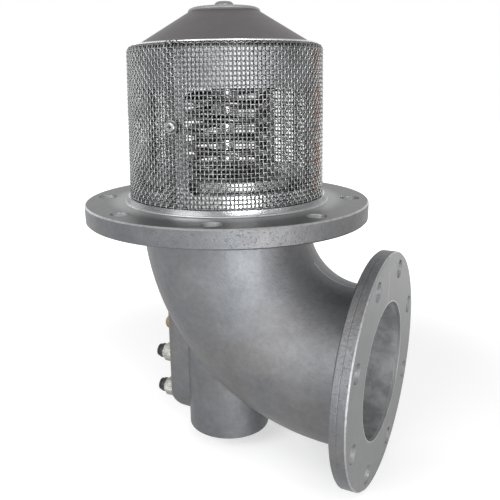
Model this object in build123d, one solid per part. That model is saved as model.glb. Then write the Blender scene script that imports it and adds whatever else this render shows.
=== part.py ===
from build123d import *
import os
from math import cos, radians, sin, tan

os.makedirs("parts", exist_ok=True)

# All sizes are in millimetres. The origin is the centre of the tank flange's top face.
# +Z points up into the tank, +X points the way the liquid leaves.

# Clearances
static_gap = 0.05
running_gap = 0.05
screen_gap = 0.1

# Tank flange
tank_flange_thickness = 13.4
tank_bolt_hole = 14.0
tank_bolt_land = 9.65
tank_bolt_edge = 6.45
tank_bolt_count = 8
joint_face_land = 2.1
joint_face_height = 1.2
joint_face_blend = 1.0
flange_chamfer = 1.0

# Outlet flange
outlet_flange_thickness = 11.5
outlet_bolt_hole = 14.0
outlet_bolt_land = 8.0
outlet_bolt_edge = 5.0
outlet_bolt_count = 8

# Elbow casting
passage_bore = 102.0
bend_radius = 102.0
neck_length = 15.35
outlet_stub = 24.9
neck_wall = 14.7
inlet_wall = 13.0
middle_wall = 10.2
outlet_wall = 9.0
casting_fillet = 3.0

# Valve seat and the spigot that carries the cage
seat_height = 6.0
seat_lip = 5.0
spigot_wall = 3.0
spigot_gap = 1.5
spigot_height = 7.0

# Actuator cylinder under the elbow
cylinder_od = 66.0
cylinder_bore = 52.0
stroke_spare = 2.0
roof_thickness = 9.0
rod_neck_od = 30.0
rod_neck_height = 16.0
bush_wall = 2.45
bush_length = 16.0
bush_shoulder = 2.0
rod_seal_wall = 4.4

# Port block on the back of the cylinder
block_back = 47.5
block_width = 39.0
block_foot = 9.9
block_top = 70.0
block_corner = 6.0
block_bottom_corner = 15.0
port_thread = 9.7
port_depth = 10.5
port_drill = 5.0
inlet_port_drop = 55.25
inlet_port_rise = 1.4
port_spacing = 33.0
breather_spacing = 28.6
vent_gallery_inset = 14.0
vent_gallery_drill = 4.0
vent_gallery_drop = 2.5

# Poppet and what it carries
poppet_rim = 1.5
poppet_rim_height = 11.6
poppet_skirt = 2.0
poppet_web = 8.5
poppet_cup_wall = 10.0
poppet_boss_od = 28.0
poppet_boss_height = 2.5
spring_seat_od = 68.0
seal_thickness = 5.0
seal_inset = 7.0
seal_overhang = 2.5
retainer_lap = 3.5
retainer_thickness = 4.0
stem_diameter = 12.0
stem_length = 80.0
rod_diameter = 14.0
collar_diameter = 20.0
collar_height = 8.0
stack_nut_across_flats = 19.0
stack_nut_height = 10.0
stack_washer_od = 24.0
stack_washer_thickness = 1.5
lift = 28.0

# Piston
piston_rest_gap = 6.0
piston_thickness = 13.0
piston_gap = 0.2
piston_counterbore = 24.0
piston_nut_across_flats = 17.0
piston_nut_height = 8.0
rod_tail_diameter = 10.0
piston_seal_height = 4.8
piston_seal_depth = 3.4
piston_seal_land = 1.6
wear_ring_height = 3.0
wear_ring_depth = 1.5
wear_ring_land = 1.4
groove_play = 0.2
lip_gap = 0.03

# Cylinder cover
cover_thickness = 10.0
cover_seal_height = 3.4
cover_seal_depth = 2.4
circlip_thickness = 1.9
circlip_groove_depth = 2.0
circlip_width = 5.5
circlip_opening = 16.0
circlip_lug = 3.2
circlip_rim = 2.9

# Strainer
screen_draft = 3.0
screen_thickness = 2.0
screen_lip = 5.2
screen_lap = 1.2
screen_lap_start = -95.2
screen_lap_span = 11.0
cage_foot_wall = 5.55
cage_foot_ledge = 1.2
cage_foot_height = 3.0
cage_shoulder = 105.2
cage_wall = 4.4
cage_cone_angle = 30.3
cage_cone_wall = 5.0
hub_diameter = 51.0
hub_rise = 2.99
hub_edge_radius = 3.0
hub_web = 8.5
window_sill = 13.5
window_head = 80.0
window_span = 72.0
window_corner = 5.0
window_count = 4
screen_screw_count = 2
screen_screw_height = 57.0
screen_screw_thread = 4.0
screen_screw_length = 8.0
screen_screw_head = 7.2
screen_screw_head_height = 2.4
screen_washer_od = 8.8
screen_washer_thickness = 0.8

# Spring and its guide
spring_coil_diameter = 55.0
spring_wire = 5.0
spring_pitch = 11.35
guide_flange_od = 66.0
guide_flange_thickness = 4.0
guide_boss_od = 28.0
guide_boss_height = 8.0
guide_tube_od = 20.0
guide_tube_length = 52.0
guide_bore_depth = 53.0
guide_vent = 3.0
guide_screw_thread = 8.0
guide_screw_length = 16.0
guide_screw_head = 14.0
guide_screw_head_height = 4.2
guide_hole_depth = 9.0

# Push-in air fittings
fitting_across_flats = 14.0
fitting_hex_length = 12.0
fitting_nose_od = 12.4
fitting_nose_length = 4.5
fitting_thread_length = 9.0
fitting_bore = 3.4
tube_socket = 6.2
tube_stop = 3.0
socket_land = 4.5
tube_seal_length = 2.0
tube_seal_outer = 9.8
grab_ring_length = 0.5
grab_ring_bore = 6.4
collet_sleeve_od = 9.0
collet_bore = 6.3
collet_ring_od = 10.6
collet_ring_length = 1.6
collet_travel = 1.0
face_seal_thickness = 1.0
face_seal_outer = 13.0

# Breather
breather_collar_od = 13.0
breather_collar_length = 3.0
breather_dome_od = 12.0
breather_dome_length = 8.5
breather_thread_length = 8.0
breather_dome_neck = 7.0
breather_neck_depth = 3.0


# Shapes shared by many pieces
def disc(radius, low, high):
    return Pos(0, 0, low) * Cylinder(radius, high - low, align=(Align.CENTER, Align.CENTER, Align.MIN))


def ring(inner, outer, low, high):
    return disc(outer, low, high) - disc(inner, low - 1, high + 1)


def turned(points):
    outline = Plane.XZ * Polyline(*points, close=True)
    return revolve(make_face(outline), Axis.Z)


def bar(radius, start, end, height):
    # A round bar along X, from start to end, at one height
    low, high = min(start, end), max(start, end)
    place = Plane(origin=(low, 0, height), x_dir=(0, 1, 0), z_dir=(1, 0, 0))
    return extrude(place * Circle(radius), high - low)


def hex_bar(across_flats, start, end, height):
    low, high = min(start, end), max(start, end)
    place = Plane(origin=(low, 0, height), x_dir=(0, 1, 0), z_dir=(1, 0, 0))
    return extrude(place * RegularPolygon(across_flats / 2, 6, major_radius=False), high - low)


def hex_nut(across_flats, bore, low, high):
    blank = extrude(Pos(0, 0, low) * RegularPolygon(across_flats / 2, 6, major_radius=False), high - low)
    corner = across_flats / 2 / cos(radians(30))
    edge = (corner - across_flats / 2) * 0.7
    rounding = turned([
        (0, low), (corner - edge, low), (corner, low + edge * 0.6),
        (corner, high - edge * 0.6), (corner - edge, high), (0, high),
    ])
    return (blank & rounding) - disc(bore, low - 1, high + 1)


def around(piece, count, start_angle):
    return [Rot(0, 0, start_angle + i * 360 / count) * piece for i in range(count)]


def save(name, shape):
    export_step(shape, f"parts/{name}.step")


# Heights and radii that several pieces share
passage = passage_bore / 2
bend_centre = -neck_length
seat_inner = passage
seat_outer = seat_inner + seat_lip
seal_inner = seat_inner - seal_inset
seal_outer = seat_outer + seal_overhang
poppet_outer = seal_outer + poppet_rim
spigot = poppet_outer + spigot_gap + spigot_wall
screen_base_radius = spigot + static_gap + cage_foot_wall + screen_gap + screen_thickness
screen_shoulder_radius = screen_base_radius - screen_draft
screen_lip_inner = screen_shoulder_radius - screen_lip
cage_foot_radius = screen_base_radius + cage_foot_ledge
cage_foot_top = joint_face_height + cage_foot_height
screen_base = cage_foot_top + screen_gap
joint_face = cage_foot_radius + joint_face_land
tank_bolt_circle = 2 * (joint_face + tank_bolt_land) + tank_bolt_hole
tank_flange_od = tank_bolt_circle + tank_bolt_hole + 2 * tank_bolt_edge
outlet_bolt_circle = passage_bore + 2 * (outlet_wall + outlet_bolt_land) + outlet_bolt_hole
outlet_flange_od = outlet_bolt_circle + outlet_bolt_hole + 2 * outlet_bolt_edge
outlet_reach = bend_radius + outlet_stub
outlet_drop = bend_radius + neck_length
poppet_face = seat_height + seal_thickness
poppet_low = poppet_face - poppet_skirt
poppet_top = poppet_low + poppet_rim_height
spring_low = seat_height + poppet_web
boss_top = spring_low + poppet_boss_height
stem = stem_diameter / 2
rod = rod_diameter / 2
collar_top = seat_height - retainer_thickness
stem_top = collar_top + stem_length
cylinder = cylinder_bore / 2
inlet_port_height = outlet_drop + inlet_port_drop
outlet_port_height = inlet_port_height - port_spacing
breather_height = outlet_port_height - breather_spacing
block_bottom = inlet_port_height + block_foot
chamber_floor = -inlet_port_height - inlet_port_rise
cylinder_bottom = cover_thickness + groove_play + circlip_thickness + circlip_rim - chamber_floor
piston_low = chamber_floor + piston_rest_gap
piston_high = piston_low + piston_thickness
chamber_top = -piston_high - lift - stroke_spare
roof_top = roof_thickness - chamber_top
neck_top = roof_top + rod_neck_height
bush_top = bush_length - chamber_top
seal_floor = bush_top + bush_shoulder
bush_outer = rod + running_gap + bush_wall
rod_seal_outer = rod + lip_gap + rod_seal_wall
cage_slope = tan(radians(cage_cone_angle))
screen_taper = screen_draft / (cage_shoulder - screen_base)
port_heights = {"inlet": -inlet_port_height, "outlet": -outlet_port_height}


def screen_outer(height):
    return screen_base_radius - (height - screen_base) * screen_taper


def cage_outer(height):
    return screen_outer(height) - screen_thickness - screen_gap


def cone_height(radius):
    # The cage's conical roof, outside
    return cage_shoulder + (cage_outer(cage_shoulder) - radius) * cage_slope


hub_top = cone_height(hub_diameter / 2) + hub_rise
hub_underside = hub_top - hub_web
guide_flange_top = hub_underside - guide_boss_height
spring_high = guide_flange_top - guide_flange_thickness


# Valve body: flanges, elbow, cylinder and port block in one casting
def elbow(start_radius, middle_radius, end_radius):
    path = Plane.XZ * CenterArc((bend_radius, bend_centre), bend_radius, 180, 90)
    sections = []
    for share, radius in ((0, start_radius), (0.5, middle_radius), (1, end_radius)):
        place = Plane(origin=path @ share, z_dir=path % share)
        sections.append(place * Circle(radius))
    return sweep(sections, path, multisection=True)


def flange_holes(count, circle, hole, length):
    blank = Pos(circle / 2, 0, 0) * Cylinder(hole / 2, length)
    return around(blank, count, 180 / count)


def tank_flange():
    plate = disc(tank_flange_od / 2, -tank_flange_thickness, 0)
    plate = chamfer(plate.edges().filter_by(GeomType.CIRCLE), flange_chamfer)
    face = joint_face
    blend = joint_face_blend
    step = turned([
        (0, 0), (face + blend, 0), (face + blend * 0.45, blend * 0.15), (face + blend * 0.15, blend * 0.45),
        (face, blend), (face - blend * 0.25, joint_face_height), (0, joint_face_height),
    ])
    upstand = ring(spigot - spigot_wall, spigot, joint_face_height, spigot_height)
    lip = turned([
        (seat_inner, 0), (seat_outer, 0), (seat_outer, seat_height - 1),
        (seat_outer - 1, seat_height), (seat_inner + 1, seat_height), (seat_inner, seat_height - 1),
    ])
    neck = disc(passage + neck_wall, bend_centre, -tank_flange_thickness)
    neck += turned([
        (0, -tank_flange_thickness), (passage + neck_wall + casting_fillet, -tank_flange_thickness),
        (passage + neck_wall, -tank_flange_thickness - casting_fillet),
        (0, -tank_flange_thickness - casting_fillet),
    ])
    return plate + step + upstand + lip + neck


def outlet_flange():
    place = Plane(origin=(outlet_reach - outlet_flange_thickness, 0, -outlet_drop), z_dir=(1, 0, 0))
    plate = extrude(place * Circle(outlet_flange_od / 2), outlet_flange_thickness)
    plate = chamfer(plate.edges().filter_by(GeomType.CIRCLE), flange_chamfer)
    outer = passage + outlet_wall
    tube = bar(outer, bend_radius, outlet_reach - outlet_flange_thickness, -outlet_drop)
    return plate + tube


def port_block():
    length = block_back
    blank = Pos(-length, 0, -block_bottom) * Box(
        length, block_width, block_bottom - block_top, align=(Align.MIN, Align.CENTER, Align.MIN)
    )
    upright = blank.edges().filter_by(Axis.Z).group_by(Axis.X)[0]
    blank = fillet(upright, block_corner)
    low = blank.edges().filter_by(Axis.Y).group_by(Axis.Z)[0].sort_by(Axis.X)[0]
    return fillet(low, block_bottom_corner)


def port_holes():
    cuts = []
    for height in (-breather_height, *port_heights.values()):
        cuts.append(bar(port_thread / 2 + static_gap, -block_back - 1, port_depth - block_back, height))
    for height in port_heights.values():
        cuts.append(bar(port_drill / 2, -block_back, 1 - cylinder, height))
    gallery = vent_gallery_inset - block_back
    entry = -chamber_top - vent_gallery_drop
    cuts.append(bar(port_drill / 2, -block_back, gallery, -breather_height))
    cuts.append(Pos(gallery, 0, 0) * disc(port_drill / 2, entry, -breather_height))
    cuts.append(bar(vent_gallery_drill / 2, gallery, 1 - cylinder, entry))
    return cuts


def valve_body():
    outside = elbow(passage + inlet_wall, passage + middle_wall, passage + outlet_wall)
    body = outside + tank_flange() + outlet_flange()
    body += disc(cylinder_od / 2, -cylinder_bottom, roof_top) + port_block()
    flow = elbow(passage, passage, passage)
    flow += disc(passage, bend_centre, spigot_height + 1)
    flow += bar(passage, bend_radius, outlet_reach + 1, -outlet_drop)
    boss = turned([
        (0, -cylinder_bottom), (cylinder_od / 2, -cylinder_bottom),
        (cylinder_od / 2, roof_top - casting_fillet), (cylinder_od / 2 - casting_fillet, roof_top),
        (rod_neck_od / 2 + casting_fillet, roof_top), (rod_neck_od / 2, roof_top + casting_fillet),
        (rod_neck_od / 2, neck_top - 1), (rod_neck_od / 2 - 1, neck_top), (0, neck_top),
    ])
    body -= flow - boss
    body += boss
    body -= disc(cylinder, -cylinder_bottom - 1, -chamber_top)
    body -= disc(cylinder + 1, -cylinder_bottom - 1, -cylinder_bottom + 1)
    groove_top = -cylinder_bottom + circlip_rim + circlip_thickness + groove_play
    body -= disc(cylinder + circlip_groove_depth, -cylinder_bottom + circlip_rim, groove_top)
    body -= disc(bush_outer + static_gap, -chamber_top - 1, bush_top)
    body -= disc(rod + 0.5, bush_top - 1, seal_floor + 1)
    body -= disc(rod_seal_outer + static_gap, seal_floor, neck_top + 1)
    body -= port_holes()
    body -= flange_holes(tank_bolt_count, tank_bolt_circle, tank_bolt_hole, 4 * tank_flange_thickness)
    outlet_place = Location((outlet_reach, 0, -outlet_drop), (0, 90, 0))
    drills = flange_holes(outlet_bolt_count, outlet_bolt_circle, outlet_bolt_hole, 3 * outlet_flange_thickness)
    body -= [outlet_place * drill for drill in drills]
    return body


# Strainer cage: foot, tapered wall with four windows, conical roof and hub
def strainer_cage():
    foot_inner = spigot + static_gap
    shoulder = cage_outer(cage_shoulder)
    hub = hub_diameter / 2
    fall = cage_cone_wall / cos(radians(cage_cone_angle))
    inner_shoulder = shoulder - cage_wall
    inner_corner = cone_height(inner_shoulder) - fall
    inner_hub = shoulder - (hub_underside - (cage_shoulder - fall)) / cage_slope
    outline = [
        (foot_inner, joint_face_height), (cage_foot_radius, joint_face_height),
        (cage_foot_radius, cage_foot_top), (cage_outer(cage_foot_top), cage_foot_top),
        (shoulder, cage_shoulder), (hub, cone_height(hub)), (hub, hub_top - hub_edge_radius),
        (hub - hub_edge_radius * 0.3, hub_top - hub_edge_radius * 0.3), (hub - hub_edge_radius, hub_top),
        (guide_screw_thread / 2 + 0.4, hub_top), (guide_screw_thread / 2 + 0.4, hub_underside),
        (inner_hub, hub_underside), (inner_shoulder, inner_corner),
        (foot_inner, window_sill - 1),
    ]
    cage = turned(outline)
    chord = 2 * screen_base_radius * sin(radians(window_span / 2))
    middle = (window_sill + window_head) / 2
    place = Plane(origin=(0, 0, middle), x_dir=(0, 1, 0), z_dir=(1, 0, 0))
    opening = place * RectangleRounded(chord, window_head - window_sill, window_corner)
    cage -= around(extrude(opening, screen_base_radius + 10), window_count, 180 / window_count)
    pilot = bar(screen_screw_thread / 2 + static_gap, 0, screen_base_radius + 1, screen_screw_height)
    cage -= around(pilot, screen_screw_count, 90)
    return cage


# Woven screen as a plain shell: tapered wall, lapped seam, top folded in over the roof
def lapped_seam():
    low = screen_base
    high = cage_shoulder - 1
    inset = screen_thickness / 2
    outline = Plane.XZ * Polyline(
        (screen_outer(low) - inset, low), (screen_outer(low) + screen_lap, low),
        (screen_outer(high) + screen_lap, high), (screen_outer(high) - inset, high), close=True
    )
    return Rot(0, 0, screen_lap_start) * revolve(make_face(outline), Axis.Z, screen_lap_span)


def strainer_screen():
    fold_outer = screen_outer(cage_shoulder)
    fold_inner = cage_outer(cage_shoulder) + screen_gap
    lift_off = screen_gap / cos(radians(cage_cone_angle))
    rise = screen_thickness / cos(radians(cage_cone_angle))
    low_lip = cone_height(screen_lip_inner) + lift_off
    screen = turned([
        (screen_base_radius - screen_thickness, screen_base), (screen_base_radius, screen_base),
        (fold_outer, cage_shoulder - 1), (fold_outer - 1.2, cage_shoulder + 1.6),
        (screen_lip_inner, low_lip + rise), (screen_lip_inner, low_lip),
        (fold_inner, cage_shoulder + lift_off),
    ])
    screen += lapped_seam()
    reach = screen_base_radius + screen_lap
    hole = bar(screen_screw_thread / 2 + 0.3, 0, reach, screen_screw_height)
    return screen - around(hole, screen_screw_count, 90)


def screen_fasteners():
    face = screen_outer(screen_screw_height - screen_washer_od / 2) + static_gap
    head = face + screen_washer_thickness
    washer = bar(screen_washer_od / 2, face, head, screen_screw_height)
    washer -= bar(screen_screw_thread / 2 + 0.2, face - 1, head + 1, screen_screw_height)
    screw = bar(screen_screw_thread / 2, head - screen_screw_length, head, screen_screw_height)
    cap = bar(screen_screw_head / 2, head, head + screen_screw_head_height, screen_screw_height)
    cap = fillet(cap.faces().sort_by(Axis.X)[-1].edges(), screen_screw_head_height * 0.6)
    # The screw at the seam sits on both layers
    screws, washers = around(screw + cap, screen_screw_count, 90), around(washer, screen_screw_count, 90)
    screws[-1] = Pos(0, -screen_lap, 0) * screws[-1]
    washers[-1] = Pos(0, -screen_lap, 0) * washers[-1]
    screws, washers = Compound(children=screws), Compound(children=washers)
    return screws, washers


# Spring guide hung under the hub by one button-head screw
def spring_guide():
    tube_low = spring_high - guide_tube_length
    bore_top = tube_low + guide_bore_depth
    guide = disc(guide_tube_od / 2, tube_low, spring_high)
    guide += disc(guide_flange_od / 2, spring_high, guide_flange_top)
    guide += disc(guide_boss_od / 2, guide_flange_top, hub_underside)
    guide -= disc(stem + running_gap, tube_low - 1, bore_top)
    guide -= disc(guide_screw_thread / 2 + static_gap, hub_underside - guide_hole_depth, hub_underside + 1)
    guide -= bar(guide_vent / 2, -guide_tube_od, guide_tube_od, spring_high - 2 * guide_vent)
    return guide


def guide_screw():
    head_top = hub_top + guide_screw_head_height
    head = disc(guide_screw_head / 2, hub_top, head_top)
    head = fillet(head.edges().group_by(Axis.Z)[-1], guide_screw_head_height * 0.75)
    socket = extrude(Pos(0, 0, head_top - 2.2) * RegularPolygon(2.5, 6, major_radius=False), 3)
    return head + disc(guide_screw_thread / 2, hub_top - guide_screw_length, hub_top) - socket


def main_spring():
    height = spring_high - spring_low
    radius = spring_coil_diameter / 2
    path = Pos(0, 0, spring_low - spring_wire / 2) * Helix(
        spring_pitch, height + spring_wire, radius, lefthand=True
    )
    section = Plane(origin=path @ 0, z_dir=path % 0) * Circle(spring_wire / 2)
    coil = sweep(section, path)
    return coil & disc(radius + 2 * spring_wire, spring_low, spring_high)


# Poppet, its seal and the nut that holds the stack on the rod
def poppet():
    spigot_radius = seal_inner - static_gap
    skirt_inner = seal_outer + static_gap
    outer = poppet_outer
    cup = poppet_outer - poppet_cup_wall
    seat = spring_seat_od / 2
    wall = 3.0
    return turned([
        (stem + static_gap, seat_height), (spigot_radius, seat_height), (spigot_radius, poppet_face),
        (skirt_inner, poppet_face), (skirt_inner, poppet_low), (outer, poppet_low),
        (outer, poppet_top - 1), (outer - 1, poppet_top), (cup + 2, poppet_top), (cup, spring_low),
        (seat, spring_low), (seat - 1, boss_top), (seat - wall, boss_top), (seat - wall, spring_low),
        (poppet_boss_od / 2, spring_low), (poppet_boss_od / 2, boss_top), (stem + static_gap, boss_top),
    ])


def poppet_seal():
    edge = 0.6
    return turned([
        (seal_inner, seat_height), (seal_outer - edge, seat_height), (seal_outer, seat_height + edge),
        (seal_outer, poppet_face), (seal_inner, poppet_face),
    ])


def seal_retainer():
    edge = retainer_thickness / 2
    outer = seal_inner + retainer_lap
    return turned([
        (stem + static_gap, collar_top), (outer - edge, collar_top), (outer, collar_top + edge),
        (outer, seat_height), (stem + static_gap, seat_height),
    ])


def poppet_rod():
    tail = rod_tail_diameter / 2
    collar = collar_diameter / 2
    return turned([
        (0, piston_low), (tail - 0.8, piston_low), (tail, piston_low + 0.8), (tail, piston_high),
        (rod, piston_high), (rod, collar_top - collar_height), (collar, collar_top - collar_height),
        (collar, collar_top), (stem, collar_top), (stem, stem_top - 1), (stem - 1, stem_top), (0, stem_top),
    ])


# Piston with its lip seal and wear ring
def piston():
    outer = cylinder - piston_gap
    seal_high = piston_high - piston_seal_land
    seal_low = seal_high - piston_seal_height - groove_play
    wear_low = piston_low + wear_ring_land
    wear_high = wear_low + wear_ring_height + groove_play
    counter = piston_counterbore / 2
    web_low = piston_low + piston_nut_height
    bore = rod_tail_diameter / 2 + static_gap
    return turned([
        (bore, piston_high), (outer, piston_high), (outer, seal_high),
        (outer - piston_seal_depth, seal_high), (outer - piston_seal_depth, seal_low), (outer, seal_low),
        (outer, wear_high), (outer - wear_ring_depth, wear_high), (outer - wear_ring_depth, wear_low),
        (outer, wear_low), (outer, piston_low), (counter, piston_low), (counter, web_low), (bore, web_low),
    ])


def piston_rings():
    outer = cylinder - piston_gap
    reach = cylinder - lip_gap
    seal_high = piston_high - piston_seal_land - groove_play / 2
    seal_low = seal_high - piston_seal_height
    floor = outer - piston_seal_depth + static_gap
    edge = 0.8
    seal = turned([
        (floor, seal_low), (reach - edge, seal_low), (reach, seal_low + edge),
        (reach, seal_high - edge), (reach - edge, seal_high), (floor, seal_high),
    ])
    wear_low = piston_low + wear_ring_land + groove_play / 2
    wear = ring(outer - wear_ring_depth + static_gap, reach, wear_low, wear_low + wear_ring_height)
    return seal, wear


# Cover that closes the cylinder, its seal and the circlip that keeps it in
cover_low = chamber_floor - cover_thickness
cover_radius = cylinder - static_gap
cover_seal_middle = chamber_floor - cover_thickness / 2


def cylinder_cover():
    low = cover_seal_middle - cover_seal_height / 2 - groove_play / 2
    high = cover_seal_middle + cover_seal_height / 2 + groove_play / 2
    inner = cover_radius - cover_seal_depth
    recess = circlip_width + 4
    return turned([
        (0, chamber_floor), (cover_radius - 1, chamber_floor), (cover_radius, chamber_floor - 1),
        (cover_radius, high), (inner, high), (inner, low), (cover_radius, low), (cover_radius, cover_low),
        (cover_radius - recess, cover_low), (cover_radius - recess - 1, cover_low + 2), (0, cover_low + 2),
    ])


def cover_seal():
    low = cover_seal_middle - cover_seal_height / 2
    high = low + cover_seal_height
    inner = cover_radius - cover_seal_depth + static_gap
    outer = cylinder - lip_gap
    edge = 0.9
    return turned([
        (inner, low), (outer - edge, low), (outer, low + edge),
        (outer, high - edge), (outer - edge, high), (inner, high),
    ])


def cover_circlip():
    high = cover_low - groove_play / 2
    low = high - circlip_thickness
    outer = cylinder + circlip_groove_depth - 2 * static_gap
    inner = outer - circlip_width
    clip = ring(inner, outer, low, high)
    gap = Pos(-outer, 0, (low + high) / 2) * Box(2 * circlip_width + 4, circlip_opening, circlip_thickness + 2)
    clip -= gap
    side = circlip_opening / 2 + circlip_lug
    reach = inner - circlip_lug * 0.6
    for hand in (-1, 1):
        lug = Pos(-reach, hand * side, 0) * disc(circlip_lug, low, high)
        clip += lug
        clip -= Pos(-reach, hand * side, 0) * disc(circlip_lug * 0.4, low - 1, high + 1)
    return clip


# Push-in fitting for one air line, along -X from the port block
hex_end = -block_back - face_seal_thickness - fitting_hex_length
nose_end = hex_end - fitting_nose_length
stop_face = -block_back - tube_stop
land_end = stop_face - socket_land
tube_seal_end = land_end - tube_seal_length
grab_start = tube_seal_end - 1.0
grab_end = grab_start - grab_ring_length
collet_start = grab_end - collet_travel - 0.1


def air_fitting(height):
    face = -block_back - face_seal_thickness
    body = hex_bar(fitting_across_flats, hex_end, face, height)
    body += bar(fitting_nose_od / 2, nose_end, hex_end, height)
    body += bar(port_thread / 2, face, fitting_thread_length - block_back, height)
    body -= bar(fitting_bore / 2, stop_face - 1, fitting_thread_length - block_back + 1, height)
    body -= bar(tube_socket / 2, stop_face, nose_end - 1, height)
    body -= bar(tube_seal_outer / 2, tube_seal_end, land_end, height)
    body -= bar(tube_seal_outer / 2, grab_end - static_gap, grab_start + static_gap, height)
    body -= bar(collet_sleeve_od / 2 + running_gap, nose_end - 1, grab_end - static_gap, height)
    return body


def face_seal(height):
    face = -block_back - static_gap
    outer = bar(face_seal_outer / 2, face - face_seal_thickness + 2 * static_gap, face, height)
    return outer - bar(port_thread / 2 + static_gap, face - 5, face + 5, height)


def tube_seal(height):
    outer = bar(tube_seal_outer / 2 - static_gap, tube_seal_end + static_gap, land_end - static_gap, height)
    return outer - bar(tube_socket / 2 + 0.02, tube_seal_end - 1, land_end + 1, height)


def grab_ring(height):
    outer = bar(tube_seal_outer / 2 - static_gap, grab_end, grab_start, height)
    return outer - bar(grab_ring_bore / 2, grab_end - 1, grab_start + 1, height)


def release_collet(height):
    ring_start = nose_end - collet_travel - 0.1
    ring_end = ring_start - collet_ring_length
    collet = bar(collet_sleeve_od / 2, collet_start, ring_start, height)
    collet += bar(collet_ring_od / 2, ring_start, ring_end, height)
    return collet - bar(collet_bore / 2, collet_start + 1, ring_end - 1, height)


# Breather: brass plug with a sintered dome
def breather():
    height = -breather_height
    collar_end = -block_back - breather_collar_length
    plug = hex_bar(breather_collar_od, collar_end, -block_back - static_gap, height)
    plug += bar(port_thread / 2, collar_end, breather_thread_length - block_back, height)
    plug -= bar(fitting_bore / 2, collar_end - 1, breather_thread_length - block_back + 1, height)
    neck = breather_dome_neck / 2
    plug -= bar(neck + static_gap, collar_end - 1, collar_end + breather_neck_depth, height)
    dome_end = collar_end - breather_dome_length
    dome = bar(breather_dome_od / 2, dome_end, collar_end - static_gap, height)
    dome = fillet(dome.faces().sort_by(Axis.X)[0].edges(), breather_dome_od * 0.36)
    dome += bar(neck, collar_end - 1, collar_end + breather_neck_depth - static_gap, height)
    dome -= bar(fitting_bore / 2, dome_end + 3, collar_end + breather_neck_depth + 1, height)
    return plug, dome


save("valve_body", valve_body())
save("strainer_cage", strainer_cage())
save("strainer_screen", strainer_screen())
screws, washers = screen_fasteners()
save("screen_screws", screws)
save("screen_washers", washers)
save("spring_guide", spring_guide())
save("guide_screw", guide_screw())
save("main_spring", main_spring())
save("poppet", poppet())
save("poppet_seal", poppet_seal())
save("seal_retainer", seal_retainer())
save("poppet_rod", poppet_rod())
washer_top = boss_top + stack_washer_thickness
save("stack_washer", ring(stem + 0.2, stack_washer_od / 2, boss_top, washer_top))
nut_bore = stem + static_gap
save("stack_nut", hex_nut(stack_nut_across_flats, nut_bore, washer_top, washer_top + stack_nut_height))
save("rod_bush", ring(rod + running_gap, bush_outer, -chamber_top, bush_top))
save("rod_seal", ring(rod + lip_gap, rod_seal_outer, seal_floor, neck_top - 0.5))
save("piston", piston())
seal, wear = piston_rings()
save("piston_seal", seal)
save("piston_wear_ring", wear)
tail_bore = rod_tail_diameter / 2 + static_gap
save("piston_nut", hex_nut(piston_nut_across_flats, tail_bore, piston_low, piston_low + piston_nut_height))
save("cylinder_cover", cylinder_cover())
save("cover_seal", cover_seal())
save("cover_circlip", cover_circlip())
for port, port_height in port_heights.items():
    save(f"{port}_fitting", air_fitting(port_height))
    save(f"{port}_face_seal", face_seal(port_height))
    save(f"{port}_tube_seal", tube_seal(port_height))
    save(f"{port}_grab_ring", grab_ring(port_height))
    save(f"{port}_release_collet", release_collet(port_height))
plug, dome = breather()
save("breather_plug", plug)
save("breather_dome", dome)
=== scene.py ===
import math
import bpy
from mathutils import Matrix, Vector


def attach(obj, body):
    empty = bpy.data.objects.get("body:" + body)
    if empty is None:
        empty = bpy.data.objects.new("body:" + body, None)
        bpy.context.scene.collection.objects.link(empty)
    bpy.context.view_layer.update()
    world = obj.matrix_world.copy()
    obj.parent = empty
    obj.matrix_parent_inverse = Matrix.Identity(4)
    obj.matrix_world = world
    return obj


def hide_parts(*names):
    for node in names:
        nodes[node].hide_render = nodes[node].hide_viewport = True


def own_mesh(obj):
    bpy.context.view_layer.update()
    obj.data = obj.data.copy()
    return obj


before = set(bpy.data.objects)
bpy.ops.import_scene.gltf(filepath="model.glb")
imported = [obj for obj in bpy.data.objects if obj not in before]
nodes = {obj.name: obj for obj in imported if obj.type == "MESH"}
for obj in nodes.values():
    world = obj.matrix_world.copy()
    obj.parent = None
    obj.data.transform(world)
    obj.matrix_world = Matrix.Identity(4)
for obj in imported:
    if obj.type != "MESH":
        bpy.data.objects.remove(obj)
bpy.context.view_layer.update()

print("frame loaded:", len(nodes), "nodes")


# Node graphs: maths written as expressions, every other node through one method
class Graph:
    def __init__(self, tree):
        self.tree = tree

    def add(self, kind, settings=None, inputs=None, out=0):
        node = self.tree.nodes.new(kind)
        for key, value in (settings or {}).items():
            if key == "stops":
                ramp = node.color_ramp
                while len(ramp.elements) < len(value):
                    ramp.elements.new(1.0)
                for element, (place, colour) in zip(ramp.elements, value):
                    element.position = place
                    element.color = colour
            else:
                setattr(node, key, value)
        for key, value in (inputs or {}).items():
            if isinstance(value, Field):
                self.tree.links.new(value.socket, node.inputs[key])
            else:
                node.inputs[key].default_value = value
        return Field(self, node.outputs[out]) if len(node.outputs) else None

    def link(self, field, node, key):
        self.tree.links.new(field.socket, node.inputs[key])


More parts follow.
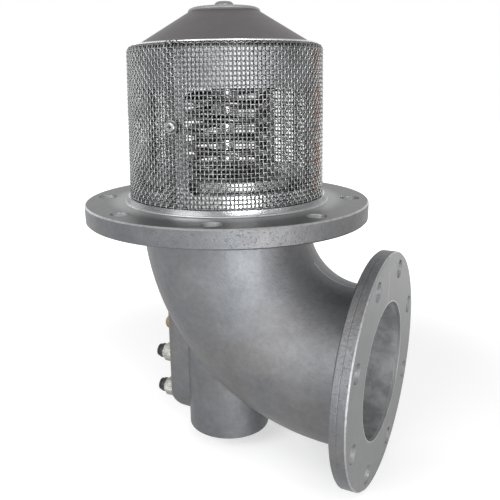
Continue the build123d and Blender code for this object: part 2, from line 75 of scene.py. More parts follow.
class Field:
    def __init__(self, graph, socket):
        self.graph = graph
        self.socket = socket

    def maths(self, operation, first, second=0.0, third=0.0):
        return self.graph.add("ShaderNodeMath", {"operation": operation}, {0: first, 1: second, 2: third})

    def __add__(self, other):
        return self.maths("ADD", self, other)

    def __radd__(self, other):
        return self.maths("ADD", other, self)

    def __sub__(self, other):
        return self.maths("SUBTRACT", self, other)

    def __rsub__(self, other):
        return self.maths("SUBTRACT", other, self)

    def __mul__(self, other):
        return self.maths("MULTIPLY", self, other)

    def __rmul__(self, other):
        return self.maths("MULTIPLY", other, self)

    def __truediv__(self, other):
        return self.maths("DIVIDE", self, other)

    def __lt__(self, other):
        return self.maths("LESS_THAN", self, other)

    def __gt__(self, other):
        return self.maths("GREATER_THAN", self, other)

    def least(self, other):
        return self.maths("MINIMUM", self, other)

    def most(self, other):
        return self.maths("MAXIMUM", self, other)

    def call(self, operation, other=0.0):
        return self.maths(operation, self, other)

    def between(self, low, high):
        # 0 below low, 1 above high, smooth in between
        return self.graph.add("ShaderNodeMapRange", {"interpolation_type": "SMOOTHSTEP"},
                              {"Value": self, "From Min": low, "From Max": high})


# Materials
def startMaterial(name):
    material = bpy.data.materials.new(name)
    material.use_nodes = True
    material.node_tree.nodes.clear()
    return material, Graph(material.node_tree)


def finishMaterial(graph, inputs):
    shader = graph.add("ShaderNodeBsdfPrincipled", None, inputs)
    graph.add("ShaderNodeOutputMaterial", None, {"Surface": shader})


def place(graph):
    # Object coordinates, whole and split
    coords = graph.add("ShaderNodeTexCoord", None, None, 3)
    split = graph.add("ShaderNodeSeparateXYZ", None, {0: coords})
    node = split.socket.node
    return coords, [Field(graph, node.outputs[axis]) for axis in range(3)]


def noise(graph, coords, scale, detail=2.0, roughness=0.5):
    return graph.add("ShaderNodeTexNoise", None,
                     {"Vector": coords, "Scale": scale, "Detail": detail, "Roughness": roughness})


def mixColour(graph, factor, first, second):
    node = graph.add("ShaderNodeMix", {"data_type": "RGBA"}, {0: factor, 6: first, 7: second}, 2)
    return node


def scaleColour(graph, colour, factor):
    # brightens or darkens a colour by a value
    node = graph.add("ShaderNodeVectorMath", {"operation": "SCALE"}, {0: colour, "Scale": factor})
    return node


def grey(level, tint=0.0):
    # a grey, pulled towards blue by tint
    return (level * (1 - tint), level, level * (1 + tint), 1.0)


def length2(first, second):
    return (first * first + second * second).call("SQRT")


def holeMask(first, second, circle, radius, count, start):
    # 1 inside a ring of round holes, 0 outside
    angle = second.maths("ARCTAN2", second, first) - start
    step = 2 * math.pi / count
    offset = angle.maths("WRAP", angle, step / 2, -step / 2)
    reach = length2(first, second)
    across = reach * offset.call("COSINE") - circle
    along = reach * offset.call("SINE")
    return length2(across, along) < radius


castLook = {
    "cool": (0.139, 0.144, 0.152, 1.0), "warm": (0.150, 0.148, 0.150, 1.0), "roughness": 0.55,
    "faceDark": 0.14, "faceLight": 0.18, "topDark": 0.13, "topLight": 0.16, "stepPaintedReflection": 0.3, "faceRoughness": 0.42, "bareAndHighlight": 0.7, "brightRoughness": 0.3,
    "insideDark": 0.16, "insideLight": 0.27, "grainScale": 950.0, "pitScale": 620.0,
}
bodySizes = {
    "bend": 0.102, "bendLevel": -0.01535, "outletLevel": -0.11735, "passage": 0.0516,
    "tankRim": 0.1046, "tankFace": -0.00105, "stepReach": 0.0795, "outletRim": 0.0861,
    "outletFace": 0.12685, "outletBack": 0.1150, "partLine": 0.1205, "register": 0.1242,
    "tube": 0.0575, "cylinder": 0.033,
}


def castBody():
    # Blasted casting with machined faces, by place on the body
    material, graph = startMaterial("castBody")
    coords, (x, y, z) = place(graph)
    sizes = bodySizes
    reach = length2(x, y)
    down = z - sizes["outletLevel"]
    outletReach = length2(y, down)
    drift = noise(graph, coords, 15.0, 2.0).between(0.35, 0.65)
    cloud = noise(graph, coords, 70.0, 3.0)
    fleck = noise(graph, coords, 260.0, 3.0, 0.6)
    grain = noise(graph, coords, castLook["grainScale"], 2.0, 0.6)
    spots = noise(graph, coords, castLook["pitScale"], 1.0, 0.4)
    # inside of the flow passage: neck, bend and outlet
    bendReach = length2(x - sizes["bend"], z - sizes["bendLevel"]) - sizes["bend"]
    tubeReach = length2(bendReach, y)
    inBend = (tubeReach < sizes["passage"]) * (x < sizes["bend"]) * (z < sizes["bendLevel"])
    inNeck = (reach < sizes["passage"]) * (z > sizes["bendLevel"])
    inOutlet = (outletReach < sizes["passage"]) * (x > sizes["bend"])
    inside = inBend.most(inNeck).most(inOutlet)
    register = (outletReach < sizes["passage"]) * (x > sizes["register"])
    outletFace = x > sizes["outletFace"]
    topFace = (z > -0.0002) * (z < 0.0004)
    stepFace = (z > 0.0004) * (reach < sizes["stepReach"])
    tankEdge = (reach > sizes["tankRim"]) * (z > sizes["tankFace"])
    outletEdge = (outletReach > sizes["outletRim"]) * (x > 0.1259)
    tankHoles = holeMask(x, y, 0.09215, 0.00708, 8, math.pi / 8) * (z < -0.0001) * (z > -0.0146)
    outletHoles = holeMask(y, down, 0.075, 0.00708, 8, math.pi / 8) * (x < 0.1268) * (x > sizes["outletBack"])
    # bare machined metal on the chamfered edges, the bolt-hole walls and the register, mixed to a light grey; on
    # the edges and the hole walls this is also a painted highlight
    edges = (tankEdge * 0.35).most(outletEdge * 0.3) * (0.3 + fleck)
    bareAndHighlight = edges.most(tankHoles.most(outletHoles)).most(register * 0.35)
    faced = outletFace.most(topFace).most(stepFace)
    rim = (outletReach > 0.0865) * (x > sizes["outletBack"] - 0.0001)
    tankRim = (reach > 0.1052) * (z > -0.0136)
    wander = x + (fleck - 0.5) * 0.0012
    rimLine = rim * (1 - (wander - sizes["partLine"]).call("ABSOLUTE").between(0.0002, 0.0005))
    seamZone = (x > 0.046) * (z < -0.0165) * (z > -0.078) * (outletReach < 0.075)
    seam = seamZone * (1 - y.call("ABSOLUTE").between(0.0002, 0.0007))
    pits = spots.between(0.62, 0.72) * (rim.most(tankRim) + faced * (outletReach > 0.078)).least(1.0)
    tone = (0.62 + 0.36 * cloud + 0.4 * fleck) * (1 - tankRim * 0.17)
    base = mixColour(graph, drift, castLook["cool"], castLook["warm"])
    facePaint = mixColour(graph, cloud, grey(castLook["faceDark"]), grey(castLook["faceLight"], 0.01))
    topPaint = mixColour(graph, cloud, grey(castLook["topDark"]), grey(castLook["topLight"], 0.01))
    # painted reflection: the flange top inside the step radius is lightened, standing in for the lit screen
    # reflected there
    topPaint = mixColour(graph, reach.between(0.0905, 0.0785), topPaint, grey(castLook["stepPaintedReflection"], 0.01))
    facePaint = mixColour(graph, z > -0.001, facePaint, topPaint)
    insidePaint = mixColour(graph, (cloud * 0.75 + fleck * 0.25).between(0.35, 0.65), grey(castLook["insideDark"], 0.02),
                            grey(castLook["insideLight"], 0.02))
    base = scaleColour(graph, base, tone)
    base = mixColour(graph, faced, base, facePaint)
    base = mixColour(graph, inside, base, insidePaint)
    base = mixColour(graph, bareAndHighlight, base, grey(castLook["bareAndHighlight"], 0.01))
    # painted shade: a dark line in the corner where the elbow meets the cylinder, darkened below together with the
    # real pits and parting line
    creased = (tubeReach - sizes["tube"]).call("ABSOLUTE").between(0.0011, 0.0003)
    creaseShade = creased * (reach - sizes["cylinder"]).call("ABSOLUTE").between(0.0014, 0.0004) * (z < -0.06)
    base = mixColour(graph, (pits * 0.35).most(rimLine * 0.25).most(creaseShade * 0.6), base, grey(0.05))
    base = mixColour(graph, seam * 0.6, base, grey(0.45))
    roughness = castLook["roughness"] + 0.14 * (grain - 0.5)
    roughness = roughness * (1 - faced) + faced * castLook["faceRoughness"]
    roughness = roughness * (1 - bareAndHighlight) + bareAndHighlight * castLook["brightRoughness"]
    rough = (1 - bareAndHighlight) * (1 - faced * 0.6) * (1 + rim * 0.8)
    height = (grain * 0.9 + fleck * (0.9 + inside * 0.6)) * rough + seam * 1.6 - pits * 0.9 - rimLine * 1.2
    bump = graph.add("ShaderNodeBump", None, {"Strength": 0.4, "Distance": 0.0004, "Height": height})
    finishMaterial(graph, {"Base Color": base, "Metallic": 1 - 0.6 * inside * (1 - register),
                           "Roughness": roughness, "Normal": bump})
    return material


cageLook = {
    "cone": (0.122, 0.115, 0.117, 1.0), "wall": (0.295, 0.297, 0.303, 1.0), "foot": (0.46, 0.465, 0.47, 1.0),
    "hub": (0.27, 0.262, 0.264, 1.0), "inner": (0.085, 0.078, 0.070, 1.0),
    "innerReach": 0.0653, "shoulder": 0.1045, "footTop": 0.0185, "hubLevel": 0.1305,
}


def castCage():
    # Painted-looking roof above, a plain light casting behind the screen with painted light added against the
    # screen's shade, a machined foot whose light colour runs up the lower wall as painted light, and a warm dark
    # inside with painted shade
    material, graph = startMaterial("castCage")
    coords, (x, y, z) = place(graph)
    cloud = noise(graph, coords, 90.0, 3.0)
    grain = noise(graph, coords, 1100.0, 2.0, 0.6)
    within = length2(x, y) < cageLook["innerReach"]
    above = z > cageLook["shoulder"]
    foot = z < cageLook["footTop"]
    hub = z > cageLook["hubLevel"]
    # painted light lightens the wall behind the screen against the screen's shade; painted shade darkens the warm
    # inside of the wall
    base = mixColour(graph, within, cageLook["wall"], cageLook["inner"])
    base = mixColour(graph, above, base, cageLook["cone"])
    # painted light: the machined foot's light colour is carried up over the lower wall to lighten the bottom of the
    # screen
    base = mixColour(graph, foot, base, cageLook["foot"])
    base = mixColour(graph, hub, base, cageLook["hub"])
    base = scaleColour(graph, base, 0.86 + 0.28 * cloud)
    roughness = 0.5 + 0.12 * (grain - 0.5) - foot * 0.25
    bump = graph.add("ShaderNodeBump", None, {"Strength": 0.3, "Distance": 0.0003, "Height": grain + cloud})
    finishMaterial(graph, {"Base Color": base, "Metallic": 1.0, "Roughness": roughness, "Normal": bump})
    return material


def plainMetal(name, dark, light, rough, grainScale=700.0, metallic=1.0, strength=0.2, tint=(1.0, 1.0, 1.0)):
    # Metal with a fine grain and slow tone changes
    material, graph = startMaterial(name)
    coords, _ = place(graph)
    slow = noise(graph, coords, 60.0, 3.0).between(0.3, 0.7)
    grain = noise(graph, coords, grainScale, 2.0, 0.6)
    first = (dark * tint[0], dark * tint[1], dark * tint[2], 1.0)
    second = (light * tint[0], light * tint[1], light * tint[2], 1.0)
    base = mixColour(graph, slow, first, second)
    bump = graph.add("ShaderNodeBump", None, {"Strength": strength, "Distance": 0.0002, "Height": grain})
    finishMaterial(graph, {"Base Color": base, "Metallic": metallic,
                           "Roughness": rough + 0.15 * (grain - 0.5), "Normal": bump})
    return material


def turnedMetal(name, dark, light, rough, pitch=0.00035, tint=(1.0, 1.0, 1.0)):
    # Turned metal: fine rings about the rod's axis
    material, graph = startMaterial(name)
    coords, (x, y, z) = place(graph)
    reach = length2(x, y)
    slow = noise(graph, coords, 80.0, 3.0).between(0.3, 0.7)
    rings = ((reach + z) * (2 * math.pi / pitch)).call("SINE")
    first = (dark * tint[0], dark * tint[1], dark * tint[2], 1.0)
    second = (light * tint[0], light * tint[1], light * tint[2], 1.0)
    base = mixColour(graph, slow, first, second)
    bump = graph.add("ShaderNodeBump", None, {"Strength": 0.15, "Distance": 0.00005, "Height": rings})
    finishMaterial(graph, {"Base Color": base, "Metallic": 1.0,
                           "Roughness": rough + 0.05 * rings, "Normal": bump})
    return material


def weaveMetal():
    # Wire cloth, with brown heat stain along its back edge
    material, graph = startMaterial("screenWire")
    coords, (x, y, z) = place(graph)
    slow = noise(graph, coords, 60.0, 3.0).between(0.3, 0.7)
    patch = noise(graph, coords, 140.0, 3.0).between(0.35, 0.6)
    grain = noise(graph, coords, 2500.0, 2.0, 0.6)
    side = y.maths("ARCTAN2", y, x)
    stain = (1 - (side - 0.03).call("ABSOLUTE").between(0.07, 0.13)) * patch * (z > 0.008)
    base = mixColour(graph, slow, grey(0.115, 0.01), grey(0.175, 0.01))
    base = mixColour(graph, stain * 0.85, base, (0.10, 0.070, 0.053, 1.0))
    bump = graph.add("ShaderNodeBump", None, {"Strength": 0.2, "Distance": 0.0002, "Height": grain})
    finishMaterial(graph, {"Base Color": base, "Metallic": 1.0,
                           "Roughness": 0.27 + 0.15 * (grain - 0.5), "Normal": bump})
    return material


def screwMetal():
    # Pan heads on the two screen screws, with the cross recess drawn as painted shade: a dark cross with a shallow
    # bump
    material, graph = startMaterial("screwMetal")
    coords, (x, y, z) = place(graph)
    grain = noise(graph, coords, 1200.0, 2.0, 0.6)
    level = z - screwLook["level"]
    across, along = x.call("ABSOLUTE"), level.call("ABSOLUTE")
    arms = (across.least(along) < screwLook["arm"]) * (across.most(along) < screwLook["reach"])
    recessShade = arms * (y.call("ABSOLUTE") > screwLook["face"])
    base = mixColour(graph, grain.between(0.3, 0.7), grey(0.2), grey(0.27))
    # painted shade: the cross recess is drawn near black
    base = mixColour(graph, recessShade, base, grey(0.03))
    bump = graph.add("ShaderNodeBump", None, {"Strength": 0.5, "Distance": 0.0006, "Height": 1 - recessShade})
    finishMaterial(graph, {"Base Color": base, "Metallic": 1.0, "Roughness": 0.26, "Normal": bump})
    return material


def fittingMetal():
    # Nickel-plated push-in fittings with a black front
    material, graph = startMaterial("nickel")
    coords, (x, y, z) = place(graph)
    slow = noise(graph, coords, 160.0, 3.0).between(0.35, 0.65)
    grain = noise(graph, coords, 1500.0, 2.0, 0.6)
    front = x < -0.0618
    base = mixColour(graph, slow, (0.2, 0.196, 0.186, 1.0), (0.36, 0.353, 0.335, 1.0))
    base = mixColour(graph, front, base, grey(0.008))
    bump = graph.add("ShaderNodeBump", None, {"Strength": 0.1, "Distance": 0.0002, "Height": grain})
    finishMaterial(graph, {"Base Color": base, "Metallic": 1 - front, "Roughness": 0.24 + front * 0.2,
                           "Normal": bump})
    return material


screwLook = {"level": 0.057, "arm": 0.00045, "reach": 0.0016, "face": 0.0735}


def softPlastic(name, colour, rough):
    material, graph = startMaterial(name)
    coords, _ = place(graph)
    grain = noise(graph, coords, 1500.0, 2.0, 0.6)
    slow = noise(graph, coords, 200.0, 2.0)
    base = mixColour(graph, slow, colour, tuple(0.8 * part for part in colour[:3]) + (1.0,))
    bump = graph.add("ShaderNodeBump", None, {"Strength": 0.15, "Distance": 0.0001, "Height": grain})
    finishMaterial(graph, {"Base Color": base, "Roughness": rough + 0.1 * (grain - 0.5), "Normal": bump})
    return material


finishes = {
    "castBody": castBody(),
    "castCage": castCage(),
    "turnedAluminium": turnedMetal("turnedAluminium", 0.34, 0.42, 0.26),
    "stainless": plainMetal("stainless", 0.5, 0.62, 0.25, 1200.0),
    "springWire": plainMetal("springWire", 0.14, 0.22, 0.24, 1500.0),
    "screenWire": weaveMetal(),
    "screwMetal": screwMetal(),
    "hemMetal": plainMetal("hemMetal", 0.5, 0.66, 0.34, 1500.0),
    "brass": plainMetal("brass", 0.22, 0.3, 0.3, 1200.0, 1.0, 0.15, (1.0, 0.74, 0.45)),
    "bronze": plainMetal("bronze", 0.17, 0.26, 0.5, 2600.0, 0.9, 0.8, (1.0, 0.72, 0.45)),
    "nickel": fittingMetal(),
    "rubber": softPlastic("rubber", (0.02, 0.02, 0.022, 1.0), 0.6),
    "blackPlastic": softPlastic("blackPlastic", (0.012, 0.012, 0.012, 1.0), 0.4),
    "wearPlastic": softPlastic("wearPlastic", (0.35, 0.25, 0.15, 1.0), 0.5),
}

finishOf = {
    "valve_body": "castBody", "strainer_cage": "castCage", "strainer_screen": "screenWire",
    "screen_screws": "screwMetal", "screen_washers": "screwMetal", "spring_guide": "turnedAluminium",
    "guide_screw": "screwMetal", "main_spring": "springWire", "poppet": "turnedAluminium",
    "poppet_seal": "rubber", "seal_retainer": "stainless", "poppet_rod": "stainless",
    "stack_washer": "stainless", "stack_nut": "stainless", "rod_bush": "bronze", "rod_seal": "rubber",
    "piston": "turnedAluminium", "piston_seal": "rubber", "piston_wear_ring": "wearPlastic",
    "piston_nut": "stainless", "cylinder_cover": "turnedAluminium", "cover_seal": "rubber",
    "cover_circlip": "springWire", "breather_plug": "brass", "breather_dome": "bronze",
}
for port in ("inlet", "outlet"):
    finishOf[port + "_fitting"] = "nickel"
    finishOf[port + "_face_seal"] = "rubber"
    finishOf[port + "_tube_seal"] = "rubber"
    finishOf[port + "_grab_ring"] = "springWire"
    finishOf[port + "_release_collet"] = "blackPlastic"


def dress(piece, finish):
    piece.data.materials.clear()
    piece.data.materials.append(finishes[finish])


for nodeName, finish in finishOf.items():
    dress(nodes[nodeName], finish)
print("materials set")


# Geometry Nodes trees
def startTree(name, inputs):
    tree = bpy.data.node_groups.new(name, "GeometryNodeTree")
    tree.interface.new_socket("Geometry", in_out="OUTPUT", socket_type="NodeSocketGeometry")
    for label, (kind, value) in inputs.items():
        socket = tree.interface.new_socket(label, in_out="INPUT", socket_type=kind)
        socket.default_value = value
    graph = Graph(tree)
    source = tree.nodes.new("NodeGroupInput")
    fields = {label: Field(graph, source.outputs[label]) for label in inputs}
    return tree, graph, fields


def endTree(graph, geometry, finish):
    geometry = graph.add("GeometryNodeRealizeInstances", None, {"Geometry": geometry})
    geometry = graph.add("GeometryNodeSetShadeSmooth", None, {"Geometry": geometry})
    geometry = graph.add("GeometryNodeSetMaterial", None, {"Geometry": geometry, "Material": finishes[finish]})
    output = graph.tree.nodes.new("NodeGroupOutput")
    graph.link(geometry, output, "Geometry")


def growPiece(name, tree, values, body, replaced=()):
    # Runs a tree on an empty mesh and keeps the result as a plain mesh
    holder = bpy.data.objects.new(name + "Holder", bpy.data.meshes.new(name + "Holder"))
    bpy.context.scene.collection.objects.link(holder)
    modifier = holder.modifiers.new("grow", "NODES")
    modifier.node_group = tree
    for item in tree.interface.items_tree:
        if item.in_out == "INPUT" and item.name in values:
            modifier[item.identifier] = values[item.name]
    depsgraph = bpy.context.evaluated_depsgraph_get()
    mesh = bpy.data.meshes.new_from_object(holder.evaluated_get(depsgraph))
    mesh.name = name
    bpy.data.objects.remove(holder)
    piece = bpy.data.objects.new(name, mesh)
    bpy.context.scene.collection.objects.link(piece)
    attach(piece, body)
    if replaced:
        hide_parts(*replaced)
    print("grown:", name, len(mesh.polygons), "faces")
    return piece


# Woven strainer: two families of crimped wires over the tapered wall and its folded top
weave = {
    "wireRadius": 0.0005, "rows": 38, "columns": 162, "pitch": 0.00284, "start": math.radians(-95.2),
    "lap": 3, "lapRise": 0.0008, "baseRadius": 0.07115, "base": 0.0049, "taper": 0.02994,
    "wallHeight": 0.0993, "shoulderRadius": 0.0026, "lipTilt": math.radians(59.7),
}


def wovenTree(name, warp):
    number, whole = "NodeSocketFloat", "NodeSocketInt"
    tree, graph, given = startTree(name, {
        "Wires": (whole, 10), "Points": (whole, 10), "Start": (number, 0.0), "Span": (number, 1.0),
        "Pitch": (number, 0.003), "Turn": (number, 0.04), "Turn start": (number, 0.0),
        "Wire radius": (number, 0.0005), "Base radius": (number, 0.07), "Base": (number, 0.0),
        "Taper": (number, 0.03), "Wall height": (number, 0.1), "Shoulder": (number, 0.005),
        "Lip tilt": (number, 1.0), "Lap": (number, 4.0), "Lap rise": (number, 0.001),
    })
    one = graph.add("GeometryNodeMeshLine", {"mode": "OFFSET"},
                    {"Count": given["Points"], "Offset": (0.0, 0.0, 1.0)})
    strand = graph.add("GeometryNodeMeshToCurve", None, {"Mesh": one})
    wires = graph.add("GeometryNodeMeshLine", {"mode": "OFFSET"},
                      {"Count": given["Wires"], "Offset": (1.0, 0.0, 0.0)})
    spread = graph.add("GeometryNodeInstanceOnPoints", None, {"Points": wires, "Instance": strand})
    spread = graph.add("GeometryNodeRealizeInstances", None, {"Geometry": spread})
    spot = graph.add("GeometryNodeInputPosition")
    split = graph.add("ShaderNodeSeparateXYZ", None, {0: spot})
    wire = split
    step = Field(graph, split.socket.node.outputs[2])
    half = given["Start"] + step * 0.5
    column, row = (wire, half) if warp else (half, wire)
    travel = row * given["Pitch"]
    up = travel.least(given["Wall height"])
    bent = (travel - given["Wall height"]).most(0.0)
    turned = (bent / given["Shoulder"]).least(given["Lip tilt"])
    inward = bent - turned * given["Shoulder"]
    sine, cosine = turned.call("SINE"), turned.call("COSINE")
    tiltSine, tiltCosine = given["Lip tilt"].call("SINE"), given["Lip tilt"].call("COSINE")
    radius = given["Base radius"] - up * given["Taper"] - given["Shoulder"] * (1 - cosine) - inward * tiltSine
    height = given["Base"] + up + given["Shoulder"] * sine + inward * tiltCosine
    side = 1.0 if warp else -1.0
    crimp = ((column + row) * math.pi).call("COSINE") * given["Wire radius"] * side
    # the outer layer of the seam comes down over the end beneath it
    lift = (1 - column.between(given["Lap"], given["Lap"] + 3.0)) * given["Lap rise"]
    push = crimp + lift
    radius = radius + push * cosine
    height = height + push * sine
    angle = given["Turn start"] + column * given["Turn"]
    target = graph.add("ShaderNodeCombineXYZ", None,
                       {0: radius * angle.call("COSINE"), 1: radius * angle.call("SINE"), 2: height})
    shaped = graph.add("GeometryNodeSetPosition", None, {"Geometry": spread, "Position": target})
    profile = graph.add("GeometryNodeCurvePrimitiveCircle", None,
                        {"Resolution": 6, "Radius": given["Wire radius"]})
    tubes = graph.add("GeometryNodeCurveToMesh", None,
                      {"Curve": shaped, "Profile Curve": profile, "Fill Caps": True})
    endTree(graph, tubes, "screenWire")
    return tree


def wovenScreen():
    columns = weave["columns"] + weave["lap"]
    common = {
        "Pitch": weave["pitch"], "Turn": 2 * math.pi / weave["columns"], "Turn start": weave["start"],
        "Wire radius": weave["wireRadius"], "Base radius": weave["baseRadius"], "Base": weave["base"],
        "Taper": weave["taper"], "Wall height": weave["wallHeight"], "Shoulder": weave["shoulderRadius"],
        "Lip tilt": weave["lipTilt"], "Lap": float(weave["lap"]), "Lap rise": weave["lapRise"],
    }
    # wires end just past the last one that they cross
    uprights = {"Wires": columns, "Points": 2 * weave["rows"], "Start": -0.15}
    hoops = {"Wires": weave["rows"], "Points": 2 * columns, "Start": -0.3}
    growPiece("strainerUprights", wovenTree("weaveUprights", True), {**common, **uprights},
              "housing", ["strainer_screen"])
    growPiece("strainerHoops", wovenTree("weaveHoops", False), {**common, **hoops},
              "housing", ["strainer_screen"])


wovenScreen()


# Folded edge that closes the weave at the top
hem = {"radius": 0.06425, "height": 0.1081, "halfWidth": 0.0011, "halfThickness": 0.0008, "tilt": math.radians(-30)}


def hemTree():
    number = "NodeSocketFloat"
    tree, graph, given = startTree("hem", {
        "Radius": (number, 0.067), "Height": (number, 0.1), "Half width": (number, 0.002),
        "Half thickness": (number, 0.0006), "Tilt": (number, 0.0),
    })
    ring = graph.add("GeometryNodeCurvePrimitiveCircle", None, {"Resolution": 200, "Radius": given["Radius"]})
    lift = graph.add("ShaderNodeCombineXYZ", None, {2: given["Height"]})
    ring = graph.add("GeometryNodeSetPosition", None, {"Geometry": ring, "Offset": lift})
    profile = graph.add("GeometryNodeCurvePrimitiveCircle", None, {"Resolution": 14, "Radius": 1.0})
    size = graph.add("ShaderNodeCombineXYZ", None, {0: given["Half width"], 1: given["Half thickness"], 2: 1.0})
    turn = graph.add("ShaderNodeCombineXYZ", None, {2: given["Tilt"]})
    profile = graph.add("GeometryNodeTransform", None, {"Geometry": profile, "Scale": size, "Rotation": turn})
    band = graph.add("GeometryNodeCurveToMesh", None, {"Curve": ring, "Profile Curve": profile})
    endTree(graph, band, "hemMetal")
    return tree


growPiece("strainerHem", hemTree(), {
    "Radius": hem["radius"], "Height": hem["height"], "Half width": hem["halfWidth"],
    "Half thickness": hem["halfThickness"], "Tilt": hem["tilt"],
}, "housing", ["strainer_screen"])


# Main spring: a smooth coil with closed, ground ends
spring = {
    "coilRadius": 0.0275, "wireRadius": 0.0025, "low": 0.0145, "high": 0.112,
    "endTurns": 0.9, "turns": 9.47, "phase": math.radians(60.9), "perTurn": 44,
}


def springTree():
    number, whole = "NodeSocketFloat", "NodeSocketInt"
    tree, graph, given = startTree("coil", {
        "Points": (whole, 100), "Turns": (number, 9.0), "End turns": (number, 1.0), "Low": (number, 0.0),
        "High": (number, 0.1), "Coil radius": (number, 0.03), "Wire radius": (number, 0.002),
        "Phase": (number, 0.0),
    })
    line = graph.add("GeometryNodeMeshLine", {"mode": "OFFSET"},
                     {"Count": given["Points"], "Offset": (0.0, 0.0, 1.0)})
    curve = graph.add("GeometryNodeMeshToCurve", None, {"Mesh": line})
    spot = graph.add("GeometryNodeInputPosition")
    split = graph.add("ShaderNodeSeparateXYZ", None, {0: spot})
    count = Field(graph, split.socket.node.outputs[2])
    turn = count / (given["Points"] - 1) * given["Turns"]
    wire = given["Wire radius"]
    closed = given["End turns"]
    active = given["Turns"] - closed * 2
    # each end turn climbs one wire, the active turns share the rest
    low = given["Low"] + wire * 0.55
    high = given["High"] - wire * 0.55
    endClimb = wire * 1.7
    rise = (high - low) - endClimb * closed * 2
    share = ((turn - closed) / active).most(0.0).least(1.0)
    ends = turn.least(closed) + (turn - given["Turns"] + closed).most(0.0)
    height = low + ends * endClimb + share * rise
    angle = given["Phase"] - turn * (2 * math.pi)
    target = graph.add("ShaderNodeCombineXYZ", None, {
        0: given["Coil radius"] * angle.call("COSINE"), 1: given["Coil radius"] * angle.call("SINE"), 2: height})
    shaped = graph.add("GeometryNodeSetPosition", None, {"Geometry": curve, "Position": target})
    profile = graph.add("GeometryNodeCurvePrimitiveCircle", None, {"Resolution": 16, "Radius": wire})
    tube = graph.add("GeometryNodeCurveToMesh", None,
                     {"Curve": shaped, "Profile Curve": profile, "Fill Caps": True})
    spot = graph.add("GeometryNodeInputPosition")
    split = graph.add("ShaderNodeSeparateXYZ", None, {0: spot})
    outputs = split.socket.node.outputs
    flat = Field(graph, outputs[2]).most(given["Low"]).least(given["High"])
    ground = graph.add("ShaderNodeCombineXYZ", None,
                       {0: Field(graph, outputs[0]), 1: Field(graph, outputs[1]), 2: flat})
    tube = graph.add("GeometryNodeSetPosition", None, {"Geometry": tube, "Position": ground})
    endTree(graph, tube, "springWire")
    return tree


def mainSpring():
    coil = growPiece("mainSpring", springTree(), {
        "Points": int(spring["turns"] * spring["perTurn"]), "Turns": spring["turns"],
        "End turns": spring["endTurns"], "Low": spring["low"], "High": spring["high"],
        "Coil radius": spring["coilRadius"], "Wire radius": spring["wireRadius"], "Phase": spring["phase"],
    }, "housing", ["main_spring"])
    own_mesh(coil)


mainSpring()


# Floor, light and camera
studio = {
    "floorSize": 8.0, "floorLevel": -0.2046, "floorShade": 0.8, "world": 0.4,
    "nearGlow": 0.38, "farGlow": 1.0, "near": 0.25, "far": 0.7,
}


def whiteRays(graph):
    # 1 for rays that should meet plain white: the camera's, reflected and refracted ones
    path = graph.add("ShaderNodeLightPath")
    outputs = path.socket.node.outputs
    return path.most(Field(graph, outputs["Is Glossy Ray"])).most(Field(graph, outputs["Is Transmission Ray"]))


def studioFloor():
    half = studio["floorSize"] / 2
    mesh = bpy.data.meshes.new("floor")
    corners = [(-half, -half), (half, -half), (half, half), (-half, half)]
    mesh.from_pydata([(x, y, studio["floorLevel"]) for x, y in corners], [], [(0, 1, 2, 3)])
    floor = bpy.data.objects.new("floor", mesh)
    bpy.context.scene.collection.objects.link(floor)
    material, graph = startMaterial("paleFloor")
    shade = studio["floorShade"]
    matt = graph.add("ShaderNodeBsdfDiffuse", None, {"Color": (shade, shade, shade, 1.0)})
    # the floor goes over into the white background away from the part
    _, (x, y, _) = place(graph)
    away = length2(x, y).between(studio["near"], studio["far"])
    strength = studio["nearGlow"] + away * (studio["farGlow"] - studio["nearGlow"])
    glow = graph.add("ShaderNodeEmission", None,
                     {"Color": (1.0, 1.0, 1.0, 1.0), "Strength": whiteRays(graph) * strength})
    both = graph.add("ShaderNodeAddShader", None, {0: matt, 1: glow})
    graph.add("ShaderNodeOutputMaterial", None, {"Surface": both})
    mesh.materials.append(material)


def studioWorld():
    world = bpy.data.worlds.new("studio")
    world.use_nodes = True
    world.node_tree.nodes.clear()
    graph = Graph(world.node_tree)
    level = whiteRays(graph) * (1.0 - studio["world"]) + studio["world"]
    glow = graph.add("ShaderNodeBackground", None, {"Color": (1.0, 1.0, 1.0, 1.0), "Strength": level})
    graph.add("ShaderNodeOutputWorld", None, {"Surface": glow})
    bpy.context.scene.world = world


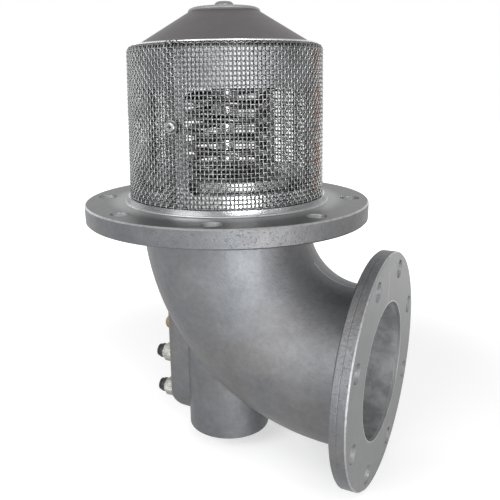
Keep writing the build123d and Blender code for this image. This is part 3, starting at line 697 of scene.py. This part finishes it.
def softBox(name, azimuth, elevation, distance, size, power):
    # A rectangular lamp that looks at the middle of the part
    lamp = bpy.data.lights.new(name, "AREA")
    lamp.shape = "RECTANGLE"
    lamp.size, lamp.size_y = size
    lamp.energy = power
    holder = bpy.data.objects.new(name, lamp)
    bpy.context.scene.collection.objects.link(holder)
    side, lift = math.radians(azimuth), math.radians(elevation)
    aim = Vector((0.02, 0.0, -0.03))
    away = Vector((math.cos(side) * math.cos(lift), math.sin(side) * math.cos(lift), math.sin(lift)))
    holder.location = aim + away * distance
    holder.rotation_euler = away.to_track_quat("Z", "Y").to_euler()
    holder.visible_camera = False


lens = {
    "place": (0.22091, -0.40985, 0.08518), "yaw": -28.325, "pitch": 17.546, "roll": -0.768,
    "focalPixels": 618.49, "centre": (227.60, 275.07), "frame": 500.0, "sensor": 36.0,
}


def addCamera():
    yaw, pitch, roll = (math.radians(lens[key]) for key in ("yaw", "pitch", "roll"))
    ahead = Vector((math.sin(yaw) * math.cos(pitch), math.cos(yaw) * math.cos(pitch), -math.sin(pitch)))
    right = Vector((math.cos(yaw), -math.sin(yaw), 0.0))
    above = right.cross(ahead)
    rightRolled = math.cos(roll) * right + math.sin(roll) * above
    aboveRolled = math.cos(roll) * above - math.sin(roll) * right
    camera = bpy.data.cameras.new("camera")
    holder = bpy.data.objects.new("camera", camera)
    bpy.context.scene.collection.objects.link(holder)
    turn = Matrix((rightRolled, aboveRolled, -ahead)).transposed()
    holder.matrix_world = Matrix.Translation(lens["place"]) @ turn.to_4x4()
    camera.sensor_width = lens["sensor"]
    camera.lens = lens["focalPixels"] / lens["frame"] * lens["sensor"]
    camera.shift_x = (lens["frame"] / 2 - lens["centre"][0]) / lens["frame"]
    camera.shift_y = (lens["centre"][1] - lens["frame"] / 2) / lens["frame"]
    camera.clip_start = 0.01
    bpy.context.scene.camera = holder


addCamera()
studioFloor()
studioWorld()
softBox("keyLight", -43, -2, 1.0, (0.5, 0.28), 9.0)
softBox("leftLight", -104, 22, 1.0, (0.6, 0.5), 6.0)
softBox("upperLight", -50, 36, 1.0, (0.5, 0.5), 2.3)
softBox("rightLight", -5, 5, 1.0, (0.4, 0.3), 0.7)
softBox("backLight", 172, 12, 1.1, (0.7, 0.5), 2.2)
softBox("farLight", 75, 14, 1.1, (0.6, 0.5), 0.9)
bpy.context.scene.view_settings.view_transform = "Standard"
print("studio set")
